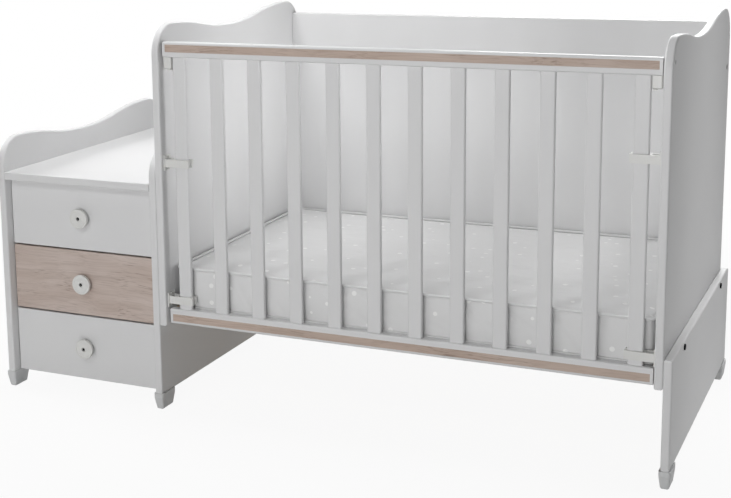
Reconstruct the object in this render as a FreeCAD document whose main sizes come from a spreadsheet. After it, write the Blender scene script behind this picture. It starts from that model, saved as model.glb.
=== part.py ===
import FreeCAD
import Part
import Sketcher
import math
import os
import re

# A convertible crib: a crib with a drop gate, bolted to a three-drawer cabinet with a changing top.
# Millimetres. X runs along the length, the front faces -Y, Z is up from the floor.

SIZES = {
    # boards and overall sizes
    "board": 18,
    "edge_round": 2,
    "side_round": 4,
    "front_round": 1,
    "depth": 760,
    "crib_length": 1110,
    "cabinet_width": 438,
    "back_inset": 24,
    "end_bottom": 208,
    "end_height": 910,
    "leg_overlap": 63,
    "back_panel_drop": 35,
    # wavy top edge of the end boards and of the cabinet's sides
    "wave_front_drop": 5,
    "wave_dip_drop": 31,
    "wave_dip_share": 0.475,
    "wave_front_radius": 68,
    "wave_rear_radius": 77,
    # foot shoes
    "foot_height": 37,
    "foot_length": 62,
    "foot_lip": 3,
    "foot_rim_below": 8,
    "foot_rim_above": 2.5,
    "floor_gap": 0.5,
    "foot_taper_across": 3,
    "foot_taper_along": 7,
    "foot_round": 5,
    "foot_sole_round": 5,
    # cabinet and drawers
    "side_rise": 87,
    "drawer_setback": 24,
    "drawer_gap": 4,
    "front_play": 2,
    "top_front_height": 157,
    "middle_front_height": 157,
    "bottom_front_height": 157,
    "drawer_rear_room": 76,
    "drawer_wall": 12,
    "drawer_wall_height": 105,
    "drawer_lift": 26,
    "drawer_floor": 4,
    "groove_depth": 5,
    "groove_lift": 12,
    "joint_play": 0.15,
    # drawer runners
    "runner_space": 12.7,
    "runner_setback": 6,
    "runner_rear_room": 44,
    "runner_height": 33,
    "runner_metal": 1.5,
    "runner_reach": 9,
    "runner_play": 0.6,
    "runner_lift": 42,
    # knobs and their screws
    "knob_diameter": 48,
    "knob_reach": 18,
    "knob_disc": 8,
    "knob_neck": 22,
    "knob_round": 1.5,
    "knob_rim": 4,
    "knob_recess": 1,
    "knob_boss": 16,
    "knob_head_bore": 9,
    "knob_head_depth": 6,
    "knob_bore": 4.4,
    "knob_screw_head": 8,
    "knob_screw_head_height": 2.5,
    "knob_screw_shank": 4,
    "knob_screw_grip": 14,
    # gate
    "gate_setback": 14,
    "gate_drop": 43,
    "gate_lift": 3,
    "gate_end_gap": 4,
    "rail_depth": 22,
    "rail_round": 4,
    "top_rail_height": 35,
    "bottom_rail_height": 36,
    "slat_count": 12,
    "slat_width": 32,
    "slat_thickness": 12,
    "slat_round": 4,
    "slat_clear": 1.5,
    "tenon": 12,
    "stripe_height": 17,
    "top_stripe_rise": 12,
    "bottom_stripe_rise": 6,
    "stripe_end": 6,
    "stripe_thickness": 2.5,
    "stripe_groove": 3,
    # guides that hold the gate's outer slats
    "flange_thickness": 3,
    "flange_depth": 30,
    "guide_height": 18,
    "guide_wall": 5,
    "guide_lip": 3,
    "guide_play": 0.7,
    "upper_left_drop": 277,
    "upper_right_drop": 199,
    "lower_guide_gap": 4,
    "guide_screw_edge": 0.8,
    "guide_screw_head": 6.4,
    "guide_screw_head_height": 2,
    "guide_screw_shank": 3.5,
    "guide_screw_grip": 12,
    # gate latches
    "pin_diameter": 8,
    "pin_length": 40,
    "pin_play": 0.08,
    "pin_hole_play": 0.5,
    "pin_below_top": 9,
    "latch_travel": 10,
    "latch_width": 20,
    "latch_depth": 18,
    "latch_height": 26,
    "latch_round": 3,
    "stem": 5,
    "stem_from_end": 12,
    "stem_play": 0.5,
    "thumb_width": 8,
    "thumb_thickness": 3,
    "thumb_gap": 0.4,
    "latch_screw_shank": 3,
    "latch_screw_head": 5.5,
    "latch_screw_head_height": 1.8,
    "latch_screw_grip": 10,
    # mattress and its base
    "base_rise": 34,
    "mattress_gap": 0.3,
    "mattress_end_gap": 6,
    "mattress_guide_gap": 0.8,
    "mattress_back_gap": 5,
    "mattress_thickness": 100,
    "mattress_crown": 6,
    "mattress_draw": 1.5,
    "mattress_round": 12,
    "mattress_bulge": 2,
    "bearer_depth": 25,
    "bearer_height": 32,
    "base_gap": 4,
    "base_slat_count": 11,
    "base_slat_width": 60,
    "base_slat_thickness": 12,
    # bolts that hold the boards together
    "bolt_shank": 6,
    "bolt_head": 13,
    "bolt_head_height": 2.5,
    "bolt_socket": 4,
    "bolt_socket_depth": 1.8,
    "long_bolt": 58,
    "short_bolt": 30,
    "cabinet_screw": 55,
    "bolt_play": 0.1,
    "head_play": 0.5,
    "head_sink": 0.5,
    "tip_play": 1,
    "back_bolt_drop": 142,
    "back_bolt_rise": 30,
    "leg_bolt_front": 134,
    "leg_bolt_rear": 130,
    "leg_bolt_below_top": 11,
    "join_bolt_inset": 160,
    "join_bolt_drop": 86,
    "join_bolt_rise": 82,
    "screw_inset": 90,
    # every cut runs past its face by this much
    "overrun": 5,
}

doc = FreeCAD.newDocument("convertible_crib")
sheet = doc.addObject("Spreadsheet::Sheet", "Sizes")
for row, (alias, number) in enumerate(SIZES.items(), start=1):
    sheet.set(f"A{row}", alias)
    sheet.set(f"B{row}", str(number))
    sheet.setAlias(f"B{row}", alias)
doc.recompute()

ALIASES = re.compile(r"\b(" + "|".join(sorted(SIZES, key=len, reverse=True)) + r")\b")
NODES = []


def bound(text):
    """The expression for a size written with the sheet's own names."""
    return ALIASES.sub(r"Sizes.\1", text)


def value(text):
    """The number that such an expression gives now."""
    return float(sheet.evalExpression(bound(text)))


def node(piece, name):
    """Gives a finished sub-part the label that names its file."""
    piece.Label = name
    NODES.append(piece)
    return piece


def put(piece, x, y, z):
    for axis, text in zip("xyz", (x, y, z)):
        piece.setExpression(f"Placement.Base.{axis}", bound(text))


def inward(face, side, near, far):
    """A span along X, counted from a face towards the inside: side is 1 on the left and -1 on the right."""
    if side > 0:
        return f"{face} + {near}", f"{face} + {far}"
    return f"{face} - ({far})", f"{face} - ({near})"


def along(start, near, far):
    return f"{start} + {near}", f"{start} + {far}"


# places that the pieces share

LEFT = "(0 - (cabinet_width + crib_length + 3 * board) / 2)"
CABINET_LEFT = f"({LEFT} + board)"
CABINET_END = f"({LEFT} + cabinet_width)"
CABINET_RIGHT = f"({CABINET_END} - board)"
CABINET_MIDDLE = f"({LEFT} + cabinet_width / 2)"
CRIB_LEFT = f"({CABINET_END} + board)"
CRIB_RIGHT = f"({CRIB_LEFT} + crib_length)"
LEG_INNER = f"({CRIB_RIGHT} + board)"
FRONT = "(0 - depth / 2)"
REAR = "(depth / 2)"
BACK_FACE = f"({REAR} - back_inset - board)"
DRAWER_FACE = f"({FRONT} + drawer_setback)"
DRAWER_BACK = f"({DRAWER_FACE} + board)"
GATE_FACE = f"({FRONT} + gate_setback)"
GATE_MIDDLE = f"({GATE_FACE} + rail_depth / 2)"
CABINET_FLOOR = "(foot_height + foot_rim_above + floor_gap)"
BOTTOM_HIGH = f"({CABINET_FLOOR} + bottom_front_height)"
MIDDLE_LOW = f"({BOTTOM_HIGH} + drawer_gap)"
MIDDLE_HIGH = f"({MIDDLE_LOW} + middle_front_height)"
TOP_LOW = f"({MIDDLE_HIGH} + drawer_gap)"
TOP_HIGH = f"({TOP_LOW} + top_front_height)"
WORKTOP = f"({TOP_HIGH} + drawer_gap + board)"
CABINET_HEIGHT = f"({WORKTOP} + side_rise)"
DRAWER_DEPTH = f"({BACK_FACE} - {DRAWER_BACK} - drawer_rear_room)"
LEG_TOP = "(end_bottom + leg_overlap)"
BACK_PANEL_TOP = "(end_height - back_panel_drop)"
GATE_TOP = "(end_height - gate_drop)"
GATE_BOTTOM = "(end_bottom + gate_lift)"
RAIL_LENGTH = "(crib_length - 2 * gate_end_gap)"
MATTRESS_BOTTOM = "(end_bottom + base_rise)"
BASE_TOP = f"({MATTRESS_BOTTOM} - base_slat_thickness)"
BEARER_LOW = f"({MATTRESS_BOTTOM} - bearer_height)"
BACK_MIDDLE = f"({BACK_FACE} + board / 2)"
BEARER_MIDDLE = f"({BEARER_LOW} + bearer_height / 2)"
BASE_FRONT = f"({GATE_MIDDLE} + flange_depth / 2 + base_gap)"
TOP_RAIL_LOW = f"({GATE_TOP} - top_rail_height)"
BOTTOM_RAIL_HIGH = f"({GATE_BOTTOM} + bottom_rail_height)"
PIN_HEIGHT = f"({GATE_TOP} - pin_below_top)"
LATCH_LOW = f"({TOP_RAIL_LOW} - latch_height)"
SLAT_MARGIN = "(gate_end_gap + latch_width + slat_clear + slat_width / 2)"
SLAT_FRONT = f"({GATE_MIDDLE} - slat_thickness / 2 - guide_play)"
SLAT_BACK = f"({GATE_MIDDLE} + slat_thickness / 2 + guide_play)"
MATTRESS_FRONT = f"({SLAT_BACK} + guide_wall + mattress_guide_gap + mattress_bulge)"
SIDES = {"left": (CRIB_LEFT, 1), "right": (CRIB_RIGHT, -1)}


# sketches and features

def plane(body, role):
    return next(p for p in body.Origin.OriginFeatures if p.Role == role)


def new_sketch(body, role, offset="0"):
    sketch = body.newObject("Sketcher::SketchObject", "Outline")
    sketch.AttachmentSupport = [(plane(body, role), "")]
    sketch.MapMode = "FlatFace"
    if offset != "0":
        sketch.setExpression("AttachmentOffset.Base.z", bound(offset))
    return sketch


def hold(sketch, geo, pos, across, up):
    """Binds a point of a sketch to its two places."""
    for kind, text, axis in (("DistanceX", across, -2), ("DistanceY", up, -1)):
        if text == "0":
            sketch.addConstraint(Sketcher.Constraint("PointOnObject", geo, pos, axis))
        else:
            index = sketch.addConstraint(Sketcher.Constraint(kind, -1, 1, geo, pos, value(text)))
            sketch.setExpression(f"Constraints[{index}]", bound(text))


def outline(sketch, corners, arcs=None):
    """A closed outline. arcs gives the radius and the turn, 1 left or -1 right, of the edge after a point."""
    arcs = arcs or {}
    points = [FreeCAD.Vector(value(u), value(v), 0) for u, v in corners]
    ends = []
    for i, start in enumerate(points):
        stop = points[(i + 1) % len(points)]
        if i not in arcs:
            ends.append((sketch.addGeometry(Part.LineSegment(start, stop)), 1, 2))
            continue
        radius, turn = value(arcs[i][0]), arcs[i][1]
        chord = stop - start
        rise = math.sqrt(radius ** 2 - (chord.Length / 2) ** 2)
        left = FreeCAD.Vector(-chord.y, chord.x, 0).normalize()
        centre = (start + stop) / 2 + left * rise * turn
        first, last = (start, stop) if turn > 0 else (stop, start)
        angles = [math.atan2(p.y - centre.y, p.x - centre.x) for p in (first, last)]
        circle = Part.Circle(centre, FreeCAD.Vector(0, 0, 1), radius)
        geo = sketch.addGeometry(Part.ArcOfCircle(circle, angles[0], angles[1]))
        ends.append((geo, 1, 2) if turn > 0 else (geo, 2, 1))
    for i, (geo, start_pos, stop_pos) in enumerate(ends):
        following = ends[(i + 1) % len(ends)]
        sketch.addConstraint(Sketcher.Constraint("Coincident", geo, stop_pos, following[0], following[1]))
    for (geo, start_pos, stop_pos), (u, v) in zip(ends, corners):
        hold(sketch, geo, start_pos, u, v)
    for i, (radius, turn) in arcs.items():
        index = sketch.addConstraint(Sketcher.Constraint("Radius", ends[i][0], value(radius)))
        sketch.setExpression(f"Constraints[{index}]", bound(radius))


def rectangle(sketch, across, up):
    outline(sketch, [(across[0], up[0]), (across[1], up[0]), (across[1], up[1]), (across[0], up[1])])


def pad(body, sketch, length):
    feature = body.newObject("PartDesign::Pad", "Pad")
    feature.Profile = sketch
    feature.setExpression("Length", bound(length))
    doc.recompute()
    return feature


def pocket(body, sketch, depth, forward):
    """Cuts a sketch into the body, along the sketch's normal when forward is true, and checks that it cut."""
    before = body.Shape.Volume
    feature = body.newObject("PartDesign::Pocket", "Pocket")
    feature.Profile = sketch
    feature.Reversed = forward
    feature.setExpression("Length", bound(depth))
    doc.recompute()
    if not feature.Shape.Volume < before:
        raise ValueError(f"a cut in {body.Label} removed nothing")
    return feature


def rounded(body, feature, radius, wanted):
    """Rounds the feature's edges that wanted picks."""
    names = [f"Edge{i}" for i, edge in enumerate(feature.Shape.Edges, start=1) if wanted(edge)]
    fillet = body.newObject("PartDesign::Fillet", "Rounding")
    fillet.Base = (feature, names)
    fillet.setExpression("Radius", bound(radius))
    doc.recompute()
    return fillet


def panel(name, x, y, z, radius="edge_round", wanted=lambda edge: True):
    """A board with rounded edges, given by its spans along the three axes."""
    body = doc.addObject("PartDesign::Body", name)
    sketch = new_sketch(body, "XY_Plane")
    rectangle(sketch, ("0", f"{x[1]} - ({x[0]})"), ("0", f"{y[1]} - ({y[0]})"))
    block = pad(body, sketch, f"{z[1]} - ({z[0]})")
    rounded(body, block, radius, wanted)
    put(body, x[0], y[0], z[0])
    return body


def drill(body, role, offset, places, diameter, depth, forward):
    """Round holes in a body, at places on one of its planes, moved along the plane's normal by offset."""
    sketch = new_sketch(body, role, offset)
    for u, v in places:
        centre = FreeCAD.Vector(value(u), value(v), 0)
        circle = Part.Circle(centre, FreeCAD.Vector(0, 0, 1), value(diameter) / 2)
        geo = sketch.addGeometry(circle)
        hold(sketch, geo, 3, u, v)
        index = sketch.addConstraint(Sketcher.Constraint("Diameter", geo, value(diameter)))
        sketch.setExpression(f"Constraints[{index}]", bound(diameter))
    doc.recompute()
    return pocket(body, sketch, depth, forward)


def box(name, x, y, z):
    """A plain block, given by its spans along the three axes."""
    piece = doc.addObject("Part::Box", name)
    for size, axis, (low, high) in zip(("Length", "Width", "Height"), "xyz", (x, y, z)):
        piece.setExpression(size, bound(f"{high} - ({low})"))
        piece.setExpression(f"Placement.Base.{axis}", bound(low))
    return piece


def rod(name, diameter, length, x, y, z, axis):
    """A cylinder that starts at a place and runs along an axis."""
    piece = doc.addObject("Part::Cylinder", name)
    piece.setExpression("Radius", bound(f"({diameter}) / 2"))
    piece.setExpression("Height", bound(length))
    piece.Placement.Rotation = FreeCAD.Rotation(FreeCAD.Vector(0, 0, 1), axis)
    put(piece, x, y, z)
    return piece


def cut(name, base, *tools):
    for tool in tools:
        piece = doc.addObject("Part::Cut", f"{name}_cut")
        piece.Base = base
        piece.Tool = tool
        base = piece
    doc.recompute()
    return base


def fuse(name, *pieces):
    piece = doc.addObject("Part::MultiFuse", name)
    piece.Shapes = list(pieces)
    piece.Refine = True
    doc.recompute()
    return piece


def compound(name, pieces):
    piece = doc.addObject("Part::Compound", name)
    piece.Links = list(pieces)
    doc.recompute()
    return node(piece, name)


def copies(name, shape, seats):
    """A group of like solids: each seat is a place, in the sheet's names, and a rotation."""
    solids = []
    for place, turn in seats:
        solid = shape.copy()
        solid.Placement = FreeCAD.Placement(FreeCAD.Vector(*(value(text) for text in place)), turn)
        solids.append(solid)
    piece = doc.addObject("Part::Feature", name)
    piece.Shape = Part.makeCompound(solids)
    return node(piece, name)


UPRIGHT = FreeCAD.Rotation()
HALF_TURN = FreeCAD.Rotation(FreeCAD.Vector(0, 0, 1), 180)
ALONG_X = FreeCAD.Vector(1, 0, 0)
AGAINST_X = FreeCAD.Vector(-1, 0, 0)
TOWARDS_BACK = FreeCAD.Vector(0, 1, 0)
UPWARDS = FreeCAD.Vector(0, 0, 1)


def towards(direction):
    return FreeCAD.Rotation(UPWARDS, direction)


def fastener(head, head_height, shank, length, socket="", socket_depth=""):
    """A bolt or screw along Z: the outer face of its head is at zero and its tip is at its length."""
    top, low = value(head_height), value(length)
    solid = Part.makeCylinder(value(head) / 2, top)
    solid = solid.fuse(Part.makeCylinder(value(shank) / 2, low))
    if socket:
        reach = value(socket) / math.sqrt(3)
        ring = [FreeCAD.Vector(reach, 0, 0)]
        sixth = FreeCAD.Rotation(UPWARDS, 60)
        for turn in range(6):
            ring.append(sixth.multVec(ring[-1]))
        ring[-1] = ring[0]
        hexagon = Part.Face(Part.makePolygon(ring))
        solid = solid.cut(hexagon.extrude(UPWARDS * value(socket_depth)))
    return solid.removeSplitter()


def wavy_board(name, x, bottom, height):
    """An end board or cabinet side: upright edges and a top of two humps with a dip between them."""
    tall = f"({height} - {bottom})"
    dip = "depth * wave_dip_share"
    hump = f"{tall} - wave_front_drop"
    rear_run = f"((depth - wave_rear_radius - {dip}) / 2)"
    rear_rise = "(wave_dip_drop / 2)"
    front_run = f"(({dip} - wave_front_radius) / 2)"
    front_rise = "((wave_dip_drop - wave_front_drop) / 2)"
    rear_bend = f"({rear_run} ^ 2 + {rear_rise} ^ 2) / (2 * {rear_rise})"
    front_bend = f"({front_run} ^ 2 + {front_rise} ^ 2) / (2 * {front_rise})"
    corners = [
        ("0", "0"),
        ("depth", "0"),
        ("depth", f"{tall} - wave_rear_radius"),
        ("depth - wave_rear_radius", tall),
        (f"{dip} + {rear_run}", f"{tall} - {rear_rise}"),
        (dip, f"{tall} - wave_dip_drop"),
        (f"wave_front_radius + {front_run}", f"{hump} - {front_rise}"),
        ("wave_front_radius", hump),
        ("0", f"{hump} - wave_front_radius"),
    ]
    arcs = {2: ("wave_rear_radius", 1), 3: (rear_bend, 1), 4: (rear_bend, -1),
            5: (front_bend, -1), 6: (front_bend, 1), 7: ("wave_front_radius", 1)}
    body = doc.addObject("PartDesign::Body", name)
    sketch = new_sketch(body, "YZ_Plane")
    outline(sketch, corners, arcs)
    slab = pad(body, sketch, "board")
    flat = SIZES["board"] / 2
    rounded(body, slab, "side_round", lambda edge: edge.BoundBox.XLength < flat)
    put(body, x, FRONT, bottom)
    return node(body, name)


# boards of the cabinet and the crib

HOLE = "(bolt_shank + 2 * bolt_play)"
HEAD_HOLE = "(bolt_head + 2 * head_play)"
HEAD_SEAT = "(bolt_head_height + head_sink)"
THROUGH = "(board + overrun)"


def from_front(place):
    """A place along Y as a distance from the front edge of a board that spans the depth."""
    return f"{place} + depth / 2"


cabinet_side_left = wavy_board("cabinet_side_left", LEFT, "foot_height", CABINET_HEIGHT)
cabinet_side_right = wavy_board("cabinet_side_right", CABINET_RIGHT, "foot_height", CABINET_HEIGHT)
crib_end_left = wavy_board("crib_end_left", CABINET_END, "end_bottom", "end_height")
crib_end_right = wavy_board("crib_end_right", CRIB_RIGHT, "end_bottom", "end_height")

GUARD_TOP = f"({CABINET_HEIGHT} - wave_dip_drop)"
INSIDE = (CABINET_LEFT, CABINET_RIGHT)
cabinet_top = node(panel("cabinet_top", INSIDE, (FRONT, BACK_FACE),
                         (f"{WORKTOP} - board", WORKTOP)), "cabinet_top")
cabinet_bottom = node(panel("cabinet_bottom", INSIDE, (f"{DRAWER_BACK} + front_play", BACK_FACE),
                            (CABINET_FLOOR, f"{CABINET_FLOOR} + board")), "cabinet_bottom")
cabinet_back = node(panel("cabinet_back", INSIDE, (BACK_FACE, f"{BACK_FACE} + board"),
                          (CABINET_FLOOR, GUARD_TOP)), "cabinet_back")
crib_back_panel = node(panel("crib_back_panel", (CRIB_LEFT, CRIB_RIGHT), (BACK_FACE, f"{BACK_FACE} + board"),
                             (GATE_BOTTOM, BACK_PANEL_TOP)), "crib_back_panel")
leg_panel = node(panel("leg_panel", (LEG_INNER, f"{LEG_INNER} + board"), (FRONT, REAR),
                       ("foot_height", LEG_TOP), "side_round"), "leg_panel")

# screws that hold the cabinet's top, floor and back between its sides
TOP_LINE = f"({WORKTOP} - board / 2)"
FLOOR_LINE = f"({CABINET_FLOOR} + board / 2)"
CABINET_SCREWS = [
    (f"{FRONT} + screw_inset", TOP_LINE),
    (f"{BACK_FACE} - screw_inset", TOP_LINE),
    (f"{DRAWER_BACK} + screw_inset", FLOOR_LINE),
    (f"{BACK_FACE} - screw_inset", FLOOR_LINE),
    (BACK_MIDDLE, f"{TOP_LINE} - screw_inset"),
    (BACK_MIDDLE, f"{FLOOR_LINE} + screw_inset"),
]
JOIN_BOLTS = [(y, z) for y in (f"{FRONT} + join_bolt_inset", f"{REAR} - join_bolt_inset")
              for z in ("(end_bottom + join_bolt_rise)", f"({WORKTOP} - join_bolt_drop)")]
LEG_BOLTS = [(y, f"({LEG_TOP} - leg_bolt_below_top)")
             for y in (f"{FRONT} + leg_bolt_front", f"{REAR} - leg_bolt_rear")]
BACK_BOLT_UPPER = "(end_height - back_bolt_drop)"
BACK_BOLT_LOWER = "(end_bottom + back_bolt_rise)"
CRIB_BOLTS = [
    (BACK_MIDDLE, BACK_BOLT_UPPER),
    (BACK_MIDDLE, BACK_BOLT_LOWER),
    (f"{BASE_FRONT} + bearer_depth / 2", BEARER_MIDDLE),
    (f"{BACK_FACE} - bearer_depth / 2", BEARER_MIDDLE),
]
GRIP_LONG = "(long_bolt + head_sink - board + tip_play)"
GRIP_SHORT = "(short_bolt + head_sink - board + tip_play)"
GRIP_LEG = "(short_bolt - bolt_head_height - board + tip_play)"
GRIP_SCREW = "(cabinet_screw + head_sink - board + tip_play)"


def lowered(places, bottom):
    """Places on a board's face, as distances from its front edge and its bottom edge."""
    return [(from_front(y), f"{z} - {bottom}") for y, z in places]


screw_places = lowered(CABINET_SCREWS, "foot_height")
drill(cabinet_side_left, "YZ_Plane", "0", screw_places, HOLE, THROUGH, True)
drill(cabinet_side_left, "YZ_Plane", "0", screw_places, HEAD_HOLE, HEAD_SEAT, True)
drill(cabinet_side_right, "YZ_Plane", "board", screw_places, HOLE, THROUGH, False)
drill(cabinet_side_right, "YZ_Plane", "board", screw_places, HEAD_HOLE, HEAD_SEAT, False)
join_places = lowered(JOIN_BOLTS, "foot_height")
drill(cabinet_side_right, "YZ_Plane", "0", join_places, HOLE, THROUGH, True)
drill(cabinet_side_right, "YZ_Plane", "0", join_places, HEAD_HOLE, HEAD_SEAT, True)
drill(crib_end_left, "YZ_Plane", "0", lowered(JOIN_BOLTS, "end_bottom"), HOLE, GRIP_SHORT, True)
leg_places = lowered(LEG_BOLTS, "foot_height")
drill(leg_panel, "YZ_Plane", "board", leg_places, HOLE, THROUGH, False)
drill(crib_end_right, "YZ_Plane", "board", lowered(LEG_BOLTS, "end_bottom"), HOLE, GRIP_LEG, False)
crib_places = lowered(CRIB_BOLTS, "end_bottom")
pin_place = lowered([(GATE_MIDDLE, PIN_HEIGHT)], "end_bottom")
PIN_HOLE = "(pin_diameter + 2 * pin_hole_play)"
for end, outer, inwards in ((crib_end_left, "0", True), (crib_end_right, "board", False)):
    drill(end, "YZ_Plane", outer, crib_places, HOLE, THROUGH, inwards)
    drill(end, "YZ_Plane", outer, crib_places, HEAD_HOLE, HEAD_SEAT, inwards)
    drill(end, "YZ_Plane", outer, pin_place, PIN_HOLE, THROUGH, inwards)


def end_holes(body, places, grip, length):
    """Blind holes in both short ends of a board that lies along X."""
    drill(body, "YZ_Plane", "0", places, HOLE, grip, True)
    drill(body, "YZ_Plane", length, places, HOLE, grip, False)


CABINET_INSIDE = "(cabinet_width - 2 * board)"
end_holes(cabinet_top, [("screw_inset", "board / 2"), (f"{BACK_FACE} - screw_inset - {FRONT}", "board / 2")],
          GRIP_SCREW, CABINET_INSIDE)
FLOOR_FRONT = f"({DRAWER_BACK} + front_play)"
end_holes(cabinet_bottom, [("screw_inset - front_play", "board / 2"),
                           (f"{BACK_FACE} - screw_inset - {FLOOR_FRONT}", "board / 2")],
          GRIP_SCREW, CABINET_INSIDE)
end_holes(cabinet_back, [("board / 2", f"{TOP_LINE} - screw_inset - {CABINET_FLOOR}"),
                         ("board / 2", "board / 2 + screw_inset")], GRIP_SCREW, CABINET_INSIDE)
end_holes(crib_back_panel, [("board / 2", f"{BACK_BOLT_UPPER} - {GATE_BOTTOM}"),
                            ("board / 2", f"{BACK_BOLT_LOWER} - {GATE_BOTTOM}")], GRIP_LONG, "crib_length")

bolt = ("bolt_head", "bolt_head_height", "bolt_shank")
hexagon = ("bolt_socket", "bolt_socket_depth")
copies("cabinet_screws", fastener(*bolt, "cabinet_screw", *hexagon),
       [((f"{LEFT} + head_sink", y, z), towards(ALONG_X)) for y, z in CABINET_SCREWS]
       + [((f"{CABINET_END} - head_sink", y, z), towards(AGAINST_X)) for y, z in CABINET_SCREWS])
copies("crib_bolts", fastener(*bolt, "long_bolt", *hexagon),
       [((f"{CABINET_END} + head_sink", y, z), towards(ALONG_X)) for y, z in CRIB_BOLTS]
       + [((f"{LEG_INNER} - head_sink", y, z), towards(AGAINST_X)) for y, z in CRIB_BOLTS])
copies("joining_bolts", fastener(*bolt, "short_bolt", *hexagon),
       [((f"{CABINET_RIGHT} + head_sink", y, z), towards(ALONG_X)) for y, z in JOIN_BOLTS]
       + [((f"{LEG_INNER} + board + bolt_head_height", y, z), towards(AGAINST_X)) for y, z in LEG_BOLTS])


# foot shoes under the cabinet's sides and the leg panel

def foot_shoe():
    """A shoe with a tapered block, rounded at the sole, and a rim that takes the lower corner of a board."""
    body = doc.addObject("PartDesign::Body", "foot_shoe")
    width = "(board + 2 * foot_lip)"
    rim_low = "(foot_height - foot_rim_below)"
    ground = new_sketch(body, "XY_Plane")
    rectangle(ground, ("foot_taper_across", f"{width} - foot_taper_across"),
              ("foot_taper_along", "foot_length - foot_taper_along"))
    under_rim = new_sketch(body, "XY_Plane", rim_low)
    rectangle(under_rim, ("0", width), ("0", "foot_length"))
    taper = body.newObject("PartDesign::AdditiveLoft", "Taper")
    taper.Profile = ground
    taper.Sections = [under_rim]
    taper.Ruled = True
    doc.recompute()
    rim = new_sketch(body, "XY_Plane", rim_low)
    rectangle(rim, ("0", width), ("0", "foot_length"))
    block = pad(body, rim, "foot_rim_below + foot_rim_above")
    upright = SIZES["foot_rim_below"]
    sides = rounded(body, block, "foot_round", lambda edge: edge.BoundBox.ZLength > upright)
    rounded(body, sides, "min(foot_sole_round; foot_round)", lambda edge: edge.BoundBox.ZMax < upright)
    seat = new_sketch(body, "XY_Plane", "foot_height")
    rectangle(seat, ("foot_lip - joint_play", "foot_lip + board + joint_play"),
              ("foot_lip - joint_play", "foot_length + overrun"))
    pocket(body, seat, "foot_rim_above + overrun", True)
    return body.Shape


shoe = foot_shoe()


def shoe_seats(board_left):
    front = ((f"{board_left} - foot_lip", f"{FRONT} - foot_lip", "0"), UPRIGHT)
    rear = ((f"{board_left} + board + foot_lip", f"{REAR} + foot_lip", "0"), HALF_TURN)
    return [front, rear]


copies("cabinet_feet", shoe, shoe_seats(LEFT) + shoe_seats(CABINET_RIGHT))
copies("leg_feet", shoe, shoe_seats(LEG_INNER))


# drawers and their runners

def knob_body(name, z):
    """A turned knob: a neck, a flat disc with a shallow ring in its face, and a bore for its screw."""
    body = doc.addObject("PartDesign::Body", name)
    sketch = new_sketch(body, "XZ_Plane")
    disc = "knob_reach - knob_disc"
    outer = "knob_diameter / 2"
    floor = "knob_reach - knob_recess"
    seat = "knob_reach - knob_head_depth"
    corners = [
        ("knob_bore / 2", "0"),
        ("knob_neck / 2", "0"),
        ("knob_neck / 2", disc),
        (f"{outer} - knob_round", disc),
        (outer, f"{disc} + knob_round"),
        (outer, "knob_reach - knob_round"),
        (f"{outer} - knob_round", "knob_reach"),
        (f"{outer} - knob_rim", "knob_reach"),
        (f"{outer} - knob_rim - knob_recess", floor),
        ("knob_boss / 2", floor),
        ("knob_boss / 2 - knob_recess", "knob_reach"),
        ("knob_head_bore / 2", "knob_reach"),
        ("knob_head_bore / 2", seat),
        ("knob_bore / 2", seat),
    ]
    outline(sketch, corners, {3: ("knob_round", 1), 5: ("knob_round", 1)})
    turned = body.newObject("PartDesign::Revolution", "Turned")
    turned.Profile = sketch
    turned.ReferenceAxis = (sketch, ["V_Axis"])
    turned.Angle = 360
    body.Placement.Rotation = towards(FreeCAD.Vector(0, -1, 0))
    put(body, CABINET_MIDDLE, DRAWER_FACE, z)
    doc.recompute()
    return node(body, name)


knob_screw = fastener("knob_screw_head", "knob_screw_head_height", "knob_screw_shank",
                      "knob_reach - knob_head_depth + knob_screw_head_height + knob_screw_grip")


def runner(name, face, side, z, moving):
    """One steel channel of a runner pair: the fixed one opens towards the drawer, the moving one away."""
    half = f"(runner_height / 2 - {'(runner_metal + runner_play)' if moving else '0'})"
    stop = f"{DRAWER_DEPTH} - runner_rear_room"
    y = along(DRAWER_BACK, "runner_setback", stop)
    hollow_y = along(DRAWER_BACK, "runner_setback - overrun", f"{stop} + overrun")
    if moving:
        near, far = "runner_metal + runner_play", "runner_space"
        hollow = ("runner_metal + runner_play - overrun", "runner_space - runner_metal")
    else:
        near, far = "0", "runner_reach"
        hollow = ("runner_metal", "runner_reach + overrun")
    bar = box(f"{name}_bar", inward(face, side, near, far), y, (f"{z} - {half}", f"{z} + {half}"))
    space = box(f"{name}_space", inward(face, side, *hollow), hollow_y,
                (f"{z} - {half} + runner_metal", f"{z} + {half} - runner_metal"))
    return cut(name, bar, space)


FIXED_RUNNERS = []
WALLS = {"left": (CABINET_LEFT, 1), "right": (CABINET_RIGHT, -1)}


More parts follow.
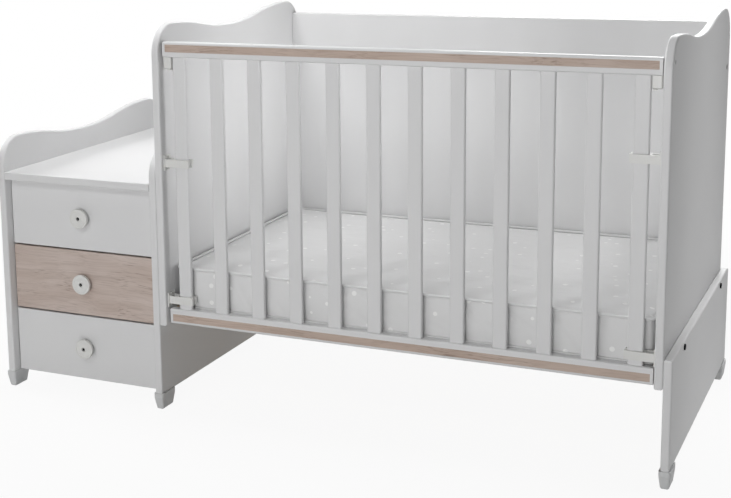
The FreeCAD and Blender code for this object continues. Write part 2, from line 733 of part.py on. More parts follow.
def drawer(which, low, high):
    """A drawer: a front, a box of two sides, a back and a floor, a knob, and its half of the runners."""
    name = f"drawer_{which}"
    front = panel(f"{name}_front", (f"{CABINET_LEFT} + front_play", f"{CABINET_RIGHT} - front_play"),
                  (DRAWER_FACE, DRAWER_BACK), (low, high), "front_round")
    node(front, f"{name}_front")
    middle = f"({CABINET_MIDDLE} - {CABINET_LEFT} - front_play)"
    centre = f"(({high} - ({low})) / 2)"
    drill(front, "XZ_Plane", "0", [(middle, centre)], "knob_screw_shank + 2 * bolt_play",
          "knob_screw_grip + tip_play", False)
    knob_height = f"{low} + {centre}"
    knob_body(f"{name}_knob", knob_height)
    seat = f"{DRAWER_FACE} - knob_reach + knob_head_depth - knob_screw_head_height"
    copies(f"{name}_knob_screw", knob_screw, [((CABINET_MIDDLE, seat, knob_height), towards(TOWARDS_BACK))])
    bottom = f"({low} + drawer_lift)"
    z = along(bottom, "0", "drawer_wall_height")
    floor_low = f"{bottom} + groove_lift"
    floor = (floor_low, f"{floor_low} + drawer_floor")
    y = along(DRAWER_BACK, "0", DRAWER_DEPTH)
    groove_y = along(DRAWER_BACK, "0 - overrun", f"{DRAWER_DEPTH} + overrun")
    groove_z = (f"{floor_low} - joint_play", f"{floor_low} + drawer_floor + joint_play")
    moving = []
    wall = "runner_space + drawer_wall"
    for hand, (face, side) in WALLS.items():
        plank = box(f"{name}_plank_{hand}", inward(face, side, "runner_space", wall), y, z)
        groove_x = inward(face, side, f"{wall} - groove_depth", f"{wall} + overrun")
        groove = box(f"{name}_groove_{hand}", groove_x, groove_y, groove_z)
        node(cut(f"{name}_side_{hand}", plank, groove), f"{name}_side_{hand}")
        middle_line = f"{bottom} + runner_lift"
        moving.append(runner(f"{name}_runner_{hand}", face, side, middle_line, True))
        FIXED_RUNNERS.append(runner(f"{name}_track_{hand}", face, side, middle_line, False))
    node(box(f"{name}_back", (f"{CABINET_LEFT} + {wall}", f"{CABINET_RIGHT} - ({wall})"),
             along(DRAWER_BACK, f"{DRAWER_DEPTH} - drawer_wall", DRAWER_DEPTH),
             (f"{floor[1]} + joint_play", z[1])), f"{name}_back")
    inset = f"{wall} - groove_depth + joint_play"
    node(box(f"{name}_floor", (f"{CABINET_LEFT} + {inset}", f"{CABINET_RIGHT} - ({inset})"), y, floor),
         f"{name}_floor")
    compound(f"{name}_runners", moving)


drawer("top", TOP_LOW, TOP_HIGH)
drawer("middle", MIDDLE_LOW, MIDDLE_HIGH)
drawer("bottom", CABINET_FLOOR, BOTTOM_HIGH)
compound("cabinet_runners", FIXED_RUNNERS)


# base under the mattress: two bearers and the slats let into them

BASE_PITCH = "((crib_length - base_slat_width) / base_slat_count)"


def bearer(name, front):
    """A bearer between the end boards, with a notch in its top for every slat."""
    body = panel(name, (CRIB_LEFT, CRIB_RIGHT), along(front, "0", "bearer_depth"),
                 (BEARER_LOW, MATTRESS_BOTTOM))
    end_holes(body, [("bearer_depth / 2", "bearer_height / 2")], GRIP_LONG, "crib_length")
    notch = new_sketch(body, "XY_Plane", "bearer_height")
    rectangle(notch, along(f"{BASE_PITCH} / 2", "0 - joint_play", "base_slat_width + joint_play"),
              ("0 - overrun", "bearer_depth + overrun"))
    seat = pocket(body, notch, "base_slat_thickness", False)
    row = body.newObject("PartDesign::LinearPattern", "NotchRow")
    row.Originals = [seat]
    row.Direction = (notch, ["H_Axis"])
    row.setExpression("Length", bound(f"{BASE_PITCH} * (base_slat_count - 1)"))
    row.setExpression("Occurrences", bound("base_slat_count"))
    body.Tip = row
    doc.recompute()
    return node(body, name)


bearer("base_front_bearer", BASE_FRONT)
bearer("base_back_bearer", f"({BACK_FACE} - bearer_depth)")
base_slat = panel("base_slat", ("0", "base_slat_width"), ("0", f"{BACK_FACE} - {BASE_FRONT}"),
                  ("0", "base_slat_thickness"))
copies("base_slats", base_slat.Shape,
       [((f"{CRIB_LEFT} + {BASE_PITCH} * ({i} + 1 / 2)", BASE_FRONT, BASE_TOP), UPRIGHT)
        for i in range(SIZES["base_slat_count"])])


# mattress: flat underneath, crowned on top, its long sides drawn in between the corners

END_SHARES = (0.0, 0.35, 1.0)
LIFT_SHARES = (0.75, 0.25, 0.0)
CROWN_SHARES = (0.2, 0.35, 0.5)
LENGTH_SHARES = (0.25, 0.5, 0.75)


def mattress_section(x, inset, lift, crown):
    """A section across the mattress at x, with its sides inset and its top and bottom drawn in by lift."""
    corner = value("mattress_round")
    low = value(f"{MATTRESS_BOTTOM} + mattress_gap") + lift
    high = value(f"{MATTRESS_BOTTOM} + mattress_gap + mattress_thickness") - lift
    front = value(MATTRESS_FRONT) + inset
    back = value(f"{BACK_FACE} - mattress_back_gap") - inset
    bulge = value("mattress_bulge")
    bend = corner * (1 - math.sqrt(0.5))

    def at(y, z):
        return FreeCAD.Vector(x, y, z)

    def arc(start, through, stop):
        return Part.Arc(at(*start), at(*through), at(*stop)).toShape()

    middle = (low + high) / 2
    p = {
        "front_low": (front, low + corner), "low_front": (front + corner, low),
        "low_back": (back - corner, low), "back_low": (back, low + corner),
        "back_high": (back, high - corner), "high_back": (back - corner, high),
        "high_front": (front + corner, high), "front_high": (front, high - corner),
    }
    edges = [
        arc(p["front_low"], (front + bend, low + bend), p["low_front"]),
        Part.LineSegment(at(*p["low_front"]), at(*p["low_back"])).toShape(),
        arc(p["low_back"], (back - bend, low + bend), p["back_low"]),
        arc(p["back_low"], (back + bulge, middle), p["back_high"]),
        arc(p["back_high"], (back - bend, high - bend), p["high_back"]),
        arc(p["high_back"], ((front + back) / 2, high + crown), p["high_front"]),
        arc(p["high_front"], (front + bend, high - bend), p["front_high"]),
        arc(p["front_high"], (front - bulge, middle), p["front_low"]),
    ]
    return Part.Wire(edges)


def mattress():
    start = value(f"{CRIB_LEFT} + mattress_end_gap")
    length = value("crib_length - 2 * mattress_end_gap")
    corner, crown, draw = value("mattress_round"), value("mattress_crown"), value("mattress_draw")
    sections = []
    ends = list(zip(END_SHARES, LIFT_SHARES, CROWN_SHARES))
    for reach, lift, rise in ends:
        sections.append((reach * corner, lift * corner, lift * corner, crown * rise))
    for share in LENGTH_SHARES:
        pull = draw * math.sin(math.pi * share)
        sections.append((share * length, pull, 0, crown * (1 + math.sin(math.pi * share)) / 2))
    for reach, lift, rise in reversed(ends):
        sections.append((length - reach * corner, lift * corner, lift * corner, crown * rise))
    wires = [mattress_section(start + x, inset, lift, top) for x, inset, lift, top in sections]
    piece = doc.addObject("Part::Feature", "mattress")
    piece.Shape = Part.makeLoft(wires, True, True)
    return node(piece, "mattress")


mattress()


# gate: two rails with a wood-toned stripe each, slats between them, a latch under each end of the top rail

SLAT_SPAN = f"(crib_length - 2 * {SLAT_MARGIN})"
SLAT_PITCH = f"({SLAT_SPAN} / (slat_count - 1))"
RAIL_LEFT = f"({CRIB_LEFT} + gate_end_gap)"
RAIL_RIGHT = f"({CRIB_RIGHT} - gate_end_gap)"
RAIL_SPAN = (RAIL_LEFT, RAIL_RIGHT)


def rail(name, low, height, stripe_rise, mortise_up):
    """A rail with rounded long edges, a shallow front groove for its stripe and a mortise for every slat."""
    body = panel(name, RAIL_SPAN, along(GATE_FACE, "0", "rail_depth"), along(low, "0", height), "rail_round",
                 lambda edge: edge.BoundBox.XLength > SIZES["rail_depth"] * 2)
    groove = new_sketch(body, "XZ_Plane")
    rectangle(groove, ("stripe_end", f"{RAIL_LENGTH} - stripe_end"), along(stripe_rise, "0", "stripe_height"))
    pocket(body, groove, "stripe_groove", False)
    mortise = new_sketch(body, "XY_Plane", "0" if mortise_up else height)
    first = f"({SLAT_MARGIN} - gate_end_gap)"
    half = "(slat_width / 2 + joint_play)"
    deep = "(slat_thickness / 2 + joint_play)"
    rectangle(mortise, (f"{first} - {half}", f"{first} + {half}"),
              (f"rail_depth / 2 - {deep}", f"rail_depth / 2 + {deep}"))
    hole = pocket(body, mortise, "tenon + joint_play", mortise_up)
    row = body.newObject("PartDesign::LinearPattern", "MortiseRow")
    row.Originals = [hole]
    row.Direction = (mortise, ["H_Axis"])
    row.setExpression("Length", bound(SLAT_SPAN))
    row.setExpression("Occurrences", bound("slat_count"))
    body.Tip = row
    doc.recompute()
    return node(body, name)


top_rail = rail("gate_top_rail", TOP_RAIL_LOW, "top_rail_height", "top_stripe_rise", True)
rail("gate_bottom_rail", GATE_BOTTOM, "bottom_rail_height", "bottom_stripe_rise", False)

PIN_BORE = "(pin_diameter + 2 * pin_play)"
pin_seat = [("rail_depth / 2", f"{PIN_HEIGHT} - {TOP_RAIL_LOW}")]
drill(top_rail, "YZ_Plane", "0", pin_seat, PIN_BORE, "pin_length + stem_play", True)
drill(top_rail, "YZ_Plane", RAIL_LENGTH, pin_seat, PIN_BORE, "pin_length + stem_play", False)
STEM_SLOT = ("stem_from_end - latch_travel - stem_play", "stem_from_end + stem + stem_play")
STEM_DEPTH = ("rail_depth / 2 - stem / 2 - stem_play", "rail_depth / 2 + stem / 2 + stem_play")
for near, far in (STEM_SLOT, (f"{RAIL_LENGTH} - ({STEM_SLOT[1]})", f"{RAIL_LENGTH} - ({STEM_SLOT[0]})")):
    slot = new_sketch(top_rail, "XY_Plane")
    rectangle(slot, (near, far), STEM_DEPTH)
    pocket(top_rail, slot, f"{PIN_HEIGHT} - {TOP_RAIL_LOW}", True)


def stripe(name, low, rise):
    inset = "stripe_end + joint_play"
    z = along(f"{low} + {rise}", "joint_play", "stripe_height - joint_play")
    return node(box(name, (f"{RAIL_LEFT} + {inset}", f"{RAIL_RIGHT} - ({inset})"),
                    along(GATE_FACE, "stripe_groove - stripe_thickness", "stripe_groove"), z), name)


stripe("gate_top_stripe", TOP_RAIL_LOW, "top_stripe_rise")
stripe("gate_bottom_stripe", GATE_BOTTOM, "bottom_stripe_rise")

SLAT_LOW = f"({BOTTOM_RAIL_HIGH} - tenon)"
SLAT_LENGTH = f"({TOP_RAIL_LOW} + tenon - {SLAT_LOW})"
SLAT_ROUND_SHARE = 0.4
slat = panel("gate_slat", ("0", "slat_width"), ("0", "slat_thickness"), ("0", SLAT_LENGTH),
             f"min(slat_round; slat_thickness * {SLAT_ROUND_SHARE})",
             lambda edge: edge.BoundBox.ZLength > SIZES["slat_width"])
copies("gate_slats", slat.Shape,
       [((f"{CRIB_LEFT} + {SLAT_MARGIN} - slat_width / 2 + {SLAT_PITCH} * {i}",
          f"{GATE_MIDDLE} - slat_thickness / 2", SLAT_LOW), UPRIGHT) for i in range(SIZES["slat_count"])])


# latches: a housing under the rail's end, and a pin for the end board's hole with a stem and a thumb piece

LATCH_SCREWS = []
LATCH_SCREW_SHARES = ("1 / 4", "3 / 4")


def latch(hand, face, side):
    end = f"{face} {'+' if side > 0 else '-'} gate_end_gap"
    y_front = f"({GATE_MIDDLE} - latch_depth / 2)"
    y_back = f"({GATE_MIDDLE} + latch_depth / 2)"
    stem_y = (f"{GATE_MIDDLE} - stem / 2", f"{GATE_MIDDLE} + stem / 2")
    slot_y = (f"{stem_y[0]} - stem_play", f"{stem_y[1]} + stem_play")
    block = panel(f"latch_block_{hand}", inward(end, side, "0", "latch_width"), (y_front, y_back),
                  (LATCH_LOW, TOP_RAIL_LOW), "latch_round",
                  lambda edge: edge.BoundBox.ZMin < SIZES["edge_round"])
    shaft = box(f"latch_shaft_{hand}", inward(end, side, *STEM_SLOT), slot_y,
                (f"{LATCH_LOW} - overrun", f"{TOP_RAIL_LOW} + overrun"))
    screw_y = f"({y_back} + {slot_y[1]}) / 2"
    holes = []
    for share in LATCH_SCREW_SHARES:
        x = inward(end, side, f"latch_width * {share}", "latch_width")[0 if side > 0 else 1]
        holes.append(rod(f"latch_hole_{hand}", "latch_screw_shank + 2 * bolt_play", "latch_height + overrun",
                         x, screw_y, LATCH_LOW, UPWARDS))
        LATCH_SCREWS.append(((x, screw_y, f"{LATCH_LOW} - latch_screw_head_height"), UPRIGHT))
    node(cut(f"latch_housing_{hand}", block, shaft, *holes), f"latch_housing_{hand}")
    start = inward(end, side, "0", "0")[0]
    pin = rod(f"pin_{hand}", "pin_diameter", "pin_length", start, GATE_MIDDLE, PIN_HEIGHT,
              ALONG_X if side > 0 else AGAINST_X)
    thumb_top = f"({LATCH_LOW} - thumb_gap)"
    stem_x = inward(end, side, "stem_from_end", "stem_from_end + stem")
    upright = box(f"stem_{hand}", stem_x, stem_y, (f"{thumb_top} - thumb_thickness / 2", PIN_HEIGHT))
    middle = "stem_from_end + stem / 2"
    thumb_x = inward(end, side, f"{middle} - thumb_width / 2", f"{middle} + thumb_width / 2")
    thumb_z = (f"{thumb_top} - thumb_thickness", thumb_top)
    thumb = panel(f"thumb_{hand}", thumb_x, (y_front, stem_y[1]), thumb_z, "thumb_thickness / 3")
    node(fuse(f"latch_bolt_{hand}", pin, upright, thumb), f"latch_bolt_{hand}")


for hand, (face, side) in SIDES.items():
    latch(hand, face, side)
copies("latch_screws", fastener("latch_screw_head", "latch_screw_head_height", "latch_screw_shank",
                                "latch_screw_head_height + latch_height + latch_screw_grip"), LATCH_SCREWS)
BEHIND_STEM = "rail_depth / 2 + latch_depth / 4 + stem / 4 + stem_play / 2"
rail_spots = [(f"latch_width * {share}", BEHIND_STEM) for share in LATCH_SCREW_SHARES]
rail_spots += [(f"{RAIL_LENGTH} - ({x})", y) for x, y in rail_spots]
drill(top_rail, "XY_Plane", "0", rail_spots, "latch_screw_shank + 2 * bolt_play",
      "latch_screw_grip + tip_play", True)


# guides on the end boards: a flange, and a channel round the outer slat that leaves its far edge open

GUIDE_SCREWS = []
FLANGE_HEIGHT = "(guide_height + 2 * guide_screw_head + 4 * guide_screw_edge)"
LOWER_GUIDE = f"({BOTTOM_RAIL_HIGH} + lower_guide_gap + {FLANGE_HEIGHT} / 2)"
GUIDE_HEIGHTS = {("upper", "left"): f"({GATE_TOP} - upper_left_drop)",
                 ("upper", "right"): f"({GATE_TOP} - upper_right_drop)",
                 ("lower", "left"): LOWER_GUIDE, ("lower", "right"): LOWER_GUIDE}
GUIDE_SCREW_REACH = "(guide_height / 2 + guide_screw_edge + guide_screw_head / 2)"
NEAR_EDGE = f"({SLAT_MARGIN} - slat_width / 2 - guide_play)"
FAR_EDGE = f"({SLAT_MARGIN} + slat_width / 2 + guide_play)"


def guide(level, hand):
    face, side = SIDES[hand]
    middle = GUIDE_HEIGHTS[level, hand]
    name = f"gate_guide_{level}_{hand}"
    z = (f"{middle} - guide_height / 2", f"{middle} + guide_height / 2")
    outer_front, outer_back = f"{SLAT_FRONT} - guide_wall", f"{SLAT_BACK} + guide_wall"
    flange_y = (f"{GATE_MIDDLE} - flange_depth / 2", f"{GATE_MIDDLE} + flange_depth / 2")
    flange_z = (f"{middle} - {FLANGE_HEIGHT} / 2", f"{middle} + {FLANGE_HEIGHT} / 2")
    flange = panel(f"{name}_flange", inward(face, side, "0", "flange_thickness"), flange_y, flange_z,
                   "flange_thickness / 4")
    reach = inward(face, side, "flange_thickness / 2", f"{FAR_EDGE} + guide_wall")
    lip = inward(face, side, FAR_EDGE, f"{FAR_EDGE} + guide_wall")
    web = inward(face, side, f"{NEAR_EDGE} - guide_wall", NEAR_EDGE)
    parts = [
        flange,
        box(f"{name}_front", reach, (outer_front, SLAT_FRONT), z),
        box(f"{name}_rear", reach, (SLAT_BACK, outer_back), z),
        box(f"{name}_web", web, (outer_front, outer_back), z),
        box(f"{name}_front_lip", lip, (outer_front, f"{SLAT_FRONT} + guide_lip"), z),
        box(f"{name}_rear_lip", lip, (f"{SLAT_BACK} - guide_lip", outer_back), z),
    ]
    holes = []
    for way in ("-", "+"):
        height = f"{middle} {way} {GUIDE_SCREW_REACH}"
        x = inward(face, side, "flange_thickness", "flange_thickness")[0]
        direction = AGAINST_X if side > 0 else ALONG_X
        holes.append(rod(f"{name}_hole", "guide_screw_shank + 2 * bolt_play", "flange_thickness + overrun",
                         x, GATE_MIDDLE, height, direction))
        head = inward(face, side, "flange_thickness + guide_screw_head_height", "0")[0 if side > 0 else 1]
        GUIDE_SCREWS.append(((head, GATE_MIDDLE, height), towards(direction)))
    node(cut(name, fuse(f"{name}_body", *parts), *holes), name)


for level, hand in GUIDE_HEIGHTS:
    guide(level, hand)
guide_screw = fastener("guide_screw_head", "guide_screw_head_height", "guide_screw_shank",
                       "guide_screw_head_height + flange_thickness + guide_screw_grip")
copies("guide_screws", guide_screw, GUIDE_SCREWS)
INNER_FACES = (("left", crib_end_left, "board", False), ("right", crib_end_right, "0", True))
for hand, end, inner, forward in INNER_FACES:
    heights = [f"{GUIDE_HEIGHTS[level, hand]} {way} {GUIDE_SCREW_REACH}"
               for level in ("upper", "lower") for way in ("-", "+")]
    drill(end, "YZ_Plane", inner, lowered([(GATE_MIDDLE, z) for z in heights], "end_bottom"),
          "guide_screw_shank + 2 * bolt_play", "guide_screw_grip + tip_play", forward)


# every object is sound before anything is written

doc.recompute()
for piece in doc.Objects:
    if "Invalid" in piece.State or "Error" in piece.State:
        raise ValueError(f"{piece.Label} did not build: {piece.State}")
os.makedirs("parts", exist_ok=True)
for piece in NODES:
    if piece.Shape.isNull() or not piece.Shape.isValid():
        raise ValueError(f"{piece.Label} is not a sound solid")
for piece in NODES:
    piece.Shape.exportStep(f"parts/{piece.Label}.step")
print(len(NODES), "nodes,", sum(len(piece.Shape.Solids) for piece in NODES), "solids")
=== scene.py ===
# %% [markdown]
# # A crib with a drop gate, bolted to a cabinet of three drawers
#
# The boards, slats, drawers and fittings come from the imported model, at their real size and place. This
# lesson gives each of them its finish, sews the mattress that lies in the crib, and lights the whole as a
# catalogue picture. Everything is in metres. The floor is at height zero, and the gate faces -Y.

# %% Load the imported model
import math

import bmesh
import bpy
import numpy as np
from mathutils import Matrix, Vector, noise


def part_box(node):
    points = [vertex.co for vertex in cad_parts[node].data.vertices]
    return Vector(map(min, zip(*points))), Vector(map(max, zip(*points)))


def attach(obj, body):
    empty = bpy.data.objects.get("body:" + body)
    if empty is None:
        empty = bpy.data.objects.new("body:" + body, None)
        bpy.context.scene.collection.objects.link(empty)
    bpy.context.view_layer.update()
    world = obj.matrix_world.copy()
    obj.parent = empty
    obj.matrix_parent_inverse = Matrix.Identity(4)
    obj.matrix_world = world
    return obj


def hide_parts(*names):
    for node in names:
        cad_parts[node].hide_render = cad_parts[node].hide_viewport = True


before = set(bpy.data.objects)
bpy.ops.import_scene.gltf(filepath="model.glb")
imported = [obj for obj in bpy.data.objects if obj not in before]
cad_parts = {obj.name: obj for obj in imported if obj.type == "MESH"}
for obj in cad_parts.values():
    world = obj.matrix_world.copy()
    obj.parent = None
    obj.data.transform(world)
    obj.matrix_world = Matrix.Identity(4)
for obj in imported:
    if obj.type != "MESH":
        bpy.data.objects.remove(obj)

scene = bpy.context.scene
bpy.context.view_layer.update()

# %% [markdown]
# ## The camera
#
# A camera can be placed by eye, but a product picture has many straight edges of known length, and those
# fix it far better. The place and turn below come from about ninety such points. The lens is given in
# picture points, as a measured picture gives it, and is turned into millimetres for a 36 mm sensor. The
# small shift moves the frame without turning the camera, so that upright boards keep their lean.

# %% Camera
PICTURE_WIDTH_PX = 731
FOCAL_LENGTH_PX = 1401
SENSOR_WIDTH_MM = 36
FRAME_SHIFT = (0.12, -0.13)
CAMERA_PLACE = Vector((1.2436, -3.0848, 1.1801))
CAMERA_YAW, CAMERA_PITCH_DOWN, CAMERA_ROLL = (math.radians(angle) for angle in (25.58, 10.36, -1.01))

lens = bpy.data.cameras.new("catalogue_camera")
lens.sensor_fit = "HORIZONTAL"
lens.sensor_width = SENSOR_WIDTH_MM
lens.lens = FOCAL_LENGTH_PX / PICTURE_WIDTH_PX * SENSOR_WIDTH_MM
lens.shift_x, lens.shift_y = FRAME_SHIFT
camera = bpy.data.objects.new("catalogue_camera", lens)
scene.collection.objects.link(camera)
turn = (
    Matrix.Rotation(CAMERA_YAW, 4, "Z")
    @ Matrix.Rotation(math.pi / 2 - CAMERA_PITCH_DOWN, 4, "X")
    @ Matrix.Rotation(CAMERA_ROLL, 4, "Z")
)
camera.matrix_world = Matrix.Translation(CAMERA_PLACE) @ turn
scene.camera = camera
print("lens", round(lens.lens, 1), "mm")

# %% [markdown]
# ## Helpers for every finish
#
# Paint charts and screens give colours as sRGB hex codes, while the shader wants linear light, so one
# function converts them. Patterns are thought of in millimetres, so another turns a size into a texture
# scale. A third adds a node with its settings and links, in shader trees and geometry trees alike. The rest
# are built on it: noise, a blend of two colours, a change of range, and a finish's first and last nodes.

# %% Colour, scale and nodes
def linear(hex_code):
    """An sRGB hex colour as the linear colour with alpha that a socket takes."""
    shares = [int(hex_code[start:start + 2], 16) / 255 for start in (1, 3, 5)]
    light = [share / 12.92 if share <= 0.04045 else ((share + 0.055) / 1.055) ** 2.4 for share in shares]
    return light + [1.0]


def per(size_mm):
    """The texture scale that repeats a pattern every size_mm millimetres, on coordinates in metres."""
    return 1000 / size_mm


def add(tree, kind, inputs=None, **settings):
    """Adds a node to a tree: settings are its properties, inputs are values or the sockets to link from."""
    node = tree.nodes.new(kind)
    for name, value in settings.items():
        setattr(node, name, value)
    for key, value in (inputs or {}).items():
        if isinstance(value, bpy.types.NodeSocket):
            tree.links.new(value, node.inputs[key])
        else:
            node.inputs[key].default_value = value
    return node


def speckle(tree, place, size_mm, detail):
    """Noise with blotches of about the given size, as a socket."""
    settings = {"Vector": place, "Scale": per(size_mm), "Detail": detail}
    return add(tree, "ShaderNodeTexNoise", settings).outputs["Fac"]


def stretched_noise(tree, place, scales, detail):
    """Noise with a scale of its own in each direction, as a socket."""
    stretched = add(tree, "ShaderNodeMapping", {"Vector": place, "Scale": scales})
    settings = {"Vector": stretched.outputs[0], "Scale": 1.0, "Detail": detail}
    return add(tree, "ShaderNodeTexNoise", settings).outputs["Fac"]


def blend(tree, share, first, second):
    """A colour socket that goes from the first colour to the second as the share goes from 0 to 1."""
    return add(tree, "ShaderNodeMix", {0: share, 6: first, 7: second}, data_type="RGBA").outputs[2]


def remap(tree, value, low=0.0, high=1.0, start=0.0, stop=1.0):
    """A socket that goes from start to stop as the value goes from low to high."""
    limits = {"From Min": low, "From Max": high, "To Min": start, "To Max": stop}
    return add(tree, "ShaderNodeMapRange", {"Value": value} | limits).outputs[0]


def start_finish(name, constants):
    """A new material with constants on its shader: the material, tree, shader and Object coordinates."""
    material = bpy.data.materials.new(name)
    material.use_nodes = True
    tree = material.node_tree
    shader = tree.nodes["Principled BSDF"]
    for socket, value in constants.items():
        shader.inputs[socket].default_value = value
    place = add(tree, "ShaderNodeTexCoord").outputs["Object"]
    return material, tree, shader, place


def end_finish(tree, shader, colour, roughness, height, depth_mm, strength):
    """Links colour, roughness and a bump of the given depth to the shader."""
    bump = add(tree, "ShaderNodeBump", {"Height": height, "Distance": depth_mm / 1000, "Strength": strength})
    tree.links.new(colour, shader.inputs["Base Color"])
    tree.links.new(roughness, shader.inputs["Roughness"])
    tree.links.new(bump.outputs["Normal"], shader.inputs["Normal"])


print("white board as linear light", [round(share, 3) for share in linear("#DEDEDE")])

# %% [markdown]
# ## White board
#
# The cabinet, the crib's ends and panels, the gate and most of each drawer are board faced with white
# melamine paper. The press plate leaves a pearl grain that is hardly a tenth of a millimetre deep, so the
# face is satin, not glossy. A flat white would look like plaster, so the finish has a faint cloud in its
# tone and a slightly uneven gloss.

# %% Melamine-faced board
def melamine_faced_board():
    # Pressed melamine: a cool white with a soft, wide highlight and a grain that shows in raking light.
    material, tree, shader, place = start_finish("melamine_faced_board", {"IOR": 1.5})
    cloud = speckle(tree, place, size_mm=240, detail=2.0)
    colour = blend(tree, cloud, linear("#DEDEDE"), linear("#D8D8D9"))
    rubbed = speckle(tree, place, size_mm=160, detail=2.0)
    gloss = remap(tree, rubbed, start=0.42, stop=0.47)
    # The real pearl grain is about 0.5 mm wide. It is drawn at 2 mm, the finest that shows.
    pearl = speckle(tree, place, size_mm=2, detail=1.0)
    end_finish(tree, shader, colour, gloss, pearl, depth_mm=0.04, strength=0.4)
    return material


white_board = melamine_faced_board()
print("made", white_board.name)

# %% [markdown]
# ## Ash decor
#
# The middle drawer and the stripes in the rails carry a printed ash grain, greyed and pale, running along
# the board. Wood grain can be drawn with rings, as if the board were cut from a log. A printed decor shows
# mostly long streaks, so here noise stretched along the board gives the tone and the fine lines. The short
# dark pores stand in groups, so a wider noise says where they may show. The rails' stripes are cut from a
# slightly browner print.

# %% Ash decor
# Each streak's length and width in millimetres, its detail, the noise where it starts and where it is full,
# and its greatest strength. Lines and flecks are several times coarser than real ones, so that they show.
ASH_STREAKS = (
    ("tone", 230, 30, 3.0, 0.32, 0.68, 1.0),
    ("line", 150, 2.8, 4.0, 0.46, 0.74, 0.5),
    ("cluster", 150, 42, 2.0, 0.47, 0.60, 1.0),
    ("fleck", 46, 2.6, 2.0, 0.54, 0.68, 0.7),
)
ASH_BEND = (0.0, 0.03, 0.03)


def ash_decor(name, ground, tints):
    # Matt printed paper: long pale streaks, fine darker lines and groups of short pores, hardly any gloss.
    material, tree, shader, place = start_finish(name, {"IOR": 1.48})
    # The log was never straight: a wide noise bends the streaks by up to some ten millimetres.
    bend = add(tree, "ShaderNodeTexNoise", {"Vector": place, "Scale": per(150), "Detail": 1.0})
    moved = {0: bend.outputs["Color"], 1: ASH_BEND, 2: place}
    flow = add(tree, "ShaderNodeVectorMath", moved, operation="MULTIPLY_ADD").outputs[0]
    grain, shares = {}, {}
    for streak, length_mm, width_mm, detail, low, high, most in ASH_STREAKS:
        scales = (per(length_mm), per(width_mm), per(width_mm))
        grain[streak] = stretched_noise(tree, flow, scales, detail)
        shares[streak] = remap(tree, grain[streak], low, high, stop=most)
    pores = add(tree, "ShaderNodeMath", {0: shares["cluster"], 1: shares["fleck"]}, operation="MULTIPLY")
    colour = linear(ground)
    for share, tint in zip((shares["tone"], shares["line"], pores.outputs[0]), tints):
        colour = blend(tree, share, colour, linear(tint))
    gloss = remap(tree, grain["line"], start=0.46, stop=0.6)
    end_finish(tree, shader, colour, gloss, grain["line"], depth_mm=0.08, strength=0.5)
    return material


ash_paper = ash_decor("ash_decor_paper", "#BAA99F", ("#CABCB4", "#A39188", "#8A786D"))
ash_stripe = ash_decor("ash_decor_stripe", "#B39F92", ("#C3B1A5", "#9C897D", "#837064"))
print("made", ash_paper.name, "and", ash_stripe.name)

# %% [markdown]
# ## Plastics
#
# Knobs, guides and latches are moulded white plastic, a touch warmer than the boards. The foot shoes are
# the same kind of plastic in light grey. Both come out of a spark-eroded mould with a fine even grain. It
# is far too fine to model, so a bump from noise breaks the highlight instead. One function makes both,
# because only the colours and the gloss differ.

# %% Moulded plastics
def moulded_plastic(name, light, dark, smooth, rough):
    # Moulded plastic: an even colour, a soft highlight and the mould's fine grain.
    material, tree, shader, place = start_finish(name, {"IOR": 1.53})
    flow = speckle(tree, place, size_mm=30, detail=2.0)
    colour = blend(tree, flow, linear(light), linear(dark))
    gloss = remap(tree, flow, start=smooth, stop=rough)
    # The mould's real grain is a few tenths of a millimetre wide. It is drawn at 1 mm.
    grain = speckle(tree, place, size_mm=1, detail=1.0)
    end_finish(tree, shader, colour, gloss, grain, depth_mm=0.03, strength=0.5)
    return material


white_plastic = moulded_plastic("moulded_white_plastic", "#DEDEDC", "#D9D9D6", smooth=0.32, rough=0.42)
grey_plastic = moulded_plastic("moulded_grey_plastic", "#D3D4D4", "#CACBCC", smooth=0.40, rough=0.50)
print("made", white_plastic.name, "and", grey_plastic.name)

# %% [markdown]
# ## Metals
#
# There are three kinds of steel: black bolts and knob screws, zinc-plated small screws, and white coated
# runners and cabinet screws. A plated or blackened screw is a true metal with etched unevenness. Every
# metal turns into a mirror at its rim, which would ring a black bolt with white, so the rim of the black
# oxide is tinted dark. The coating is paint on steel, so it is shaded as paint, with the orange-peel skin
# of baked powder.

# %% Steels
def bare_steel(name, light, dark, rim, smooth, rough):
    # Plated or blackened steel: a metal whose gloss changes in small patches.
    constants = {"Metallic": 1.0, "Specular Tint": linear(rim)}
    material, tree, shader, place = start_finish(name, constants)
    patch = speckle(tree, place, size_mm=4, detail=3.0)
    colour = blend(tree, patch, linear(light), linear(dark))
    gloss = remap(tree, patch, start=smooth, stop=rough)
    # Real etching is finer than a tenth of a millimetre. It is drawn at 0.8 mm.
    grain = speckle(tree, place, size_mm=0.8, detail=1.0)
    end_finish(tree, shader, colour, gloss, grain, depth_mm=0.02, strength=0.5)
    return material


def powder_coated_steel():
    # Baked white powder: glossier than the boards, with a shallow orange-peel skin.
    material, tree, shader, place = start_finish("powder_coated_steel", {"IOR": 1.5})
    skin = speckle(tree, place, size_mm=3, detail=2.0)
    colour = blend(tree, skin, linear("#DFDFE0"), linear("#D9D9DA"))
    gloss = remap(tree, skin, start=0.24, stop=0.34)
    end_finish(tree, shader, colour, gloss, skin, depth_mm=0.06, strength=0.6)
    return material


dark_steel = bare_steel("black_oxide_steel", "#1C1C1E", "#101011", rim="#3A3A3C", smooth=0.5, rough=0.65)
zinc_steel = bare_steel("zinc_plated_steel", "#CBCBC6", "#B4B5B3", rim="#FFFFFF", smooth=0.28, rough=0.42)
white_steel = powder_coated_steel()
print("made", dark_steel.name, zinc_steel.name, "and", white_steel.name)

